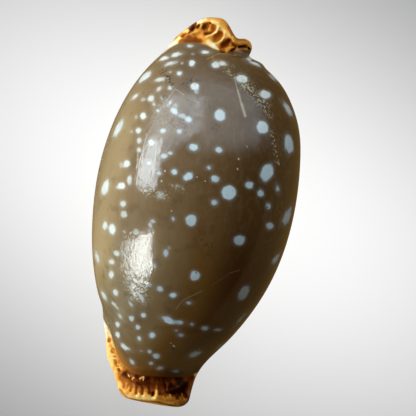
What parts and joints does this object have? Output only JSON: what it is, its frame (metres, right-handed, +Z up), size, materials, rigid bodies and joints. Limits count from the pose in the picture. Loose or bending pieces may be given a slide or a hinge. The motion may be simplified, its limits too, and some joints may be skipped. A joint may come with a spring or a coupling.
{
  "type": "cowrie shell",
  "caption": "Glossy domed cowrie shell, rolled in over a long toothed slit along its flat base, with a short flared collar at each end.",
  "frame": {"origin": "on the resting plane, under the middle of the shell's length and width", "axes": "+Z up through the dome, +Y towards the posterior end with the crest and pits, +X towards the columellar (inner lip) side"},
  "size_m": [0.0348, 0.0682, 0.0281],
  "materials": {
    "enamel": "polished"
  },
  "bodies": {
    "root": {"shell": "enamel"}
  },
  "joints": []
}
